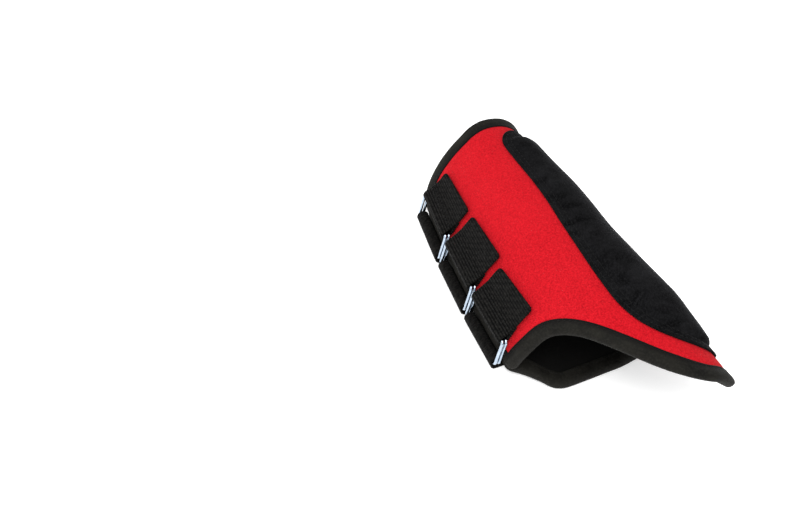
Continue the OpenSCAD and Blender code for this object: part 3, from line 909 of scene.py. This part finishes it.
def hook_tape(n, short):
    """Hook tape sewn under the free end: a thin band with rows of small bent hooks facing the felt."""
    end = PHI_UP - (FLAP_LEN - short) / (FRONT_R + 2) + math.radians(4.5)
    path, run = even_path(face_arc(FLAP_MID - 0.5, end, PHI_PATCH, 60), 0.5)
    tape = ribbon(f"hook_tape_{n}", path, run, n, STRAP_W - 2, HOOK, 0.40, corner=1.2, cols=30)
    verts, faces = [], []
    for i, a in enumerate(np.arange(end + 1.2 / FRONT_R, PHI_PATCH - 0.8 / FRONT_R, 1.15 / FRONT_R)):
        out = np.array([-math.sin(a), math.cos(a)])
        along = np.array([math.cos(a), math.sin(a)])
        foot = np.array([FY, FZ]) + out * (FLAP_MID - 0.86)
        for u in np.arange(-20.2 + 0.55 * (i % 2), 20.4, 1.1):
            base = len(verts)
            for du, dv in ((-0.2, -0.2), (0.2, -0.2), (0.2, 0.2), (-0.2, 0.2)):
                q = foot + along * dv
                verts.append(on_seat(n, u + du, q[0], q[1]))
            for du, dv in ((-0.12, 0.05), (0.12, 0.05), (0.12, 0.30), (-0.12, 0.30)):
                q = foot + along * dv - out * 0.38
                verts.append(on_seat(n, u + du, q[0], q[1]))
            for k in range(4):
                m = (k + 1) % 4
                faces.append([base + k, base + m, base + 4 + m, base + 4 + k])
            faces += [[base + 4, base + 5, base + 6, base + 7], [base + 3, base + 2, base + 1, base]]
    hooks = fix_normals(new_object(f"hook_rows_{n}", verts, faces, None, HOOK, False))
    for ob in (tape, hooks):
        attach(ob, f"strap_{n}_body")
    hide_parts(f"hook_patch_{n}")


tab_mid, tab_run = tab_path()


for n in (1, 2, 3):
    short = SHORT_FLAP if n == 3 else 0.0
    hook_tape(n, short)
    strap_mid, strap_run = strap_path(short)
    strap = ribbon(f"elastic_strap_{n}", strap_mid, strap_run, n, STRAP_W, STRAP_MAT, ELASTIC / 2,
                   corner=3.2, skew=4.0, hem=0.45, ribs=0.07)
    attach(strap, f"strap_{n}_body")
    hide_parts(f"strap_{n}")
    tab = ribbon(f"elastic_tab_{n}", tab_mid, tab_run, n, STRAP_W, TAB_MAT, ELASTIC / 2)
    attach(tab, "boot")
    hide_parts(f"loop_tab_{n}")

    rows = []
    for k, at in enumerate(row - short for row in STRAP_ROWS):
        q = np.array([np.interp(at, strap_run, strap_mid[:, a]) for a in (0, 1)])
        e = np.array([np.interp(at + 0.5, strap_run, strap_mid[:, a]) for a in (0, 1)]) - q
        e = np.array([e[1], -e[0]]) / np.linalg.norm(e)
        q = q + e * (ELASTIC / 2 + 0.05)
        p = on_seat(n, np.linspace(-1, 1, 60) * (STRAP_W / 2 - 1.6), q[0], q[1] + np.zeros(60))
        nn = np.tile(seat_vector(n, e[0], e[1]), (60, 1))
        rows.append(stitches(f"strap_{n}_stitch_{k + 1}", p, nn, THREAD, 1.9, 1.1, 0.42, 0.10))
        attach(rows[-1], f"strap_{n}_body")
    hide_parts(f"strap_stitching_{n}")
    for k, at in enumerate(TAB_ROWS):
        p = on_seat(n, np.linspace(-1, 1, 60) * (STRAP_W / 2 - 3), at, 0.24 + np.zeros(60))
        nn = np.tile([0, 0, -1.0], (60, 1))
        sew = stitches(f"tab_{n}_stitch_{k + 1}", p, nn, THREAD, 2.4, 1.2, 0.14, 0.06)
        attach(sew, "boot")
        if k == 0:
            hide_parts(f"tab_stitching_{n}")


# ---------------------------------------------------------------- stage, lights, camera
def floor_material():
    m = Nodes("floor_paper", 0.9, Specular_IOR_Level=0.1)
    m.set(Base_Color=(0.93, 0.93, 0.93, 1), Emission_Color=(1, 1, 1, 1), Emission_Strength=0.30)
    return m.mat


floor = new_object("floor", [(-15, -15, 0), (15, -15, 0), (15, 15, 0), (-15, 15, 0)], [[0, 1, 2, 3]], None,
                   floor_material(), False)
floor.location.z = -0.0002


def area_light(name, place, target, size, power):
    data = bpy.data.lights.new(name, "AREA")
    data.shape, data.size, data.energy = "DISK", size, power
    ob = bpy.data.objects.new(name, data)
    ob.location = place
    ob.rotation_euler = (Vector(target) - Vector(place)).to_track_quat("-Z", "Y").to_euler()
    bpy.context.scene.collection.objects.link(ob)
    return ob


area_light("key_overhead", (0.55, -0.3, 1.8), (0, 0, 0), 1.3, 28)
area_light("fill_front", (1.3, -1.2, 1.2), (0, 0, 0.05), 1.2, 14)
area_light("rim_left", (-1.2, -0.8, 1.0), (0, 0, 0.05), 0.8, 8)

world = bpy.data.worlds.new("studio")
world.use_nodes = True
world.node_tree.nodes["Background"].inputs["Color"].default_value = (1, 1, 1, 1)
world.node_tree.nodes["Background"].inputs["Strength"].default_value = 0.80
scene = bpy.context.scene
scene.world = world
scene.view_settings.view_transform = "Standard"
scene.view_settings.look = "None"
scene.view_settings.exposure = 0.0

cam_data = bpy.data.cameras.new("camera")
SENSOR, PICTURE_WIDTH, FOCAL_PIXELS = 36, 800, 1164
cam_data.lens = FOCAL_PIXELS * SENSOR / PICTURE_WIDTH
cam_data.sensor_width = SENSOR
cam_data.clip_start, cam_data.clip_end = 0.05, 20
cam = bpy.data.objects.new("camera", cam_data)
cam.location = (0.4395, -0.3132, 0.6917)
aim = Vector((-0.0922, -0.0804, 0.0))
cam.rotation_euler = (aim - cam.location).to_track_quat("-Z", "Y").to_euler()
scene.collection.objects.link(cam)
scene.camera = cam
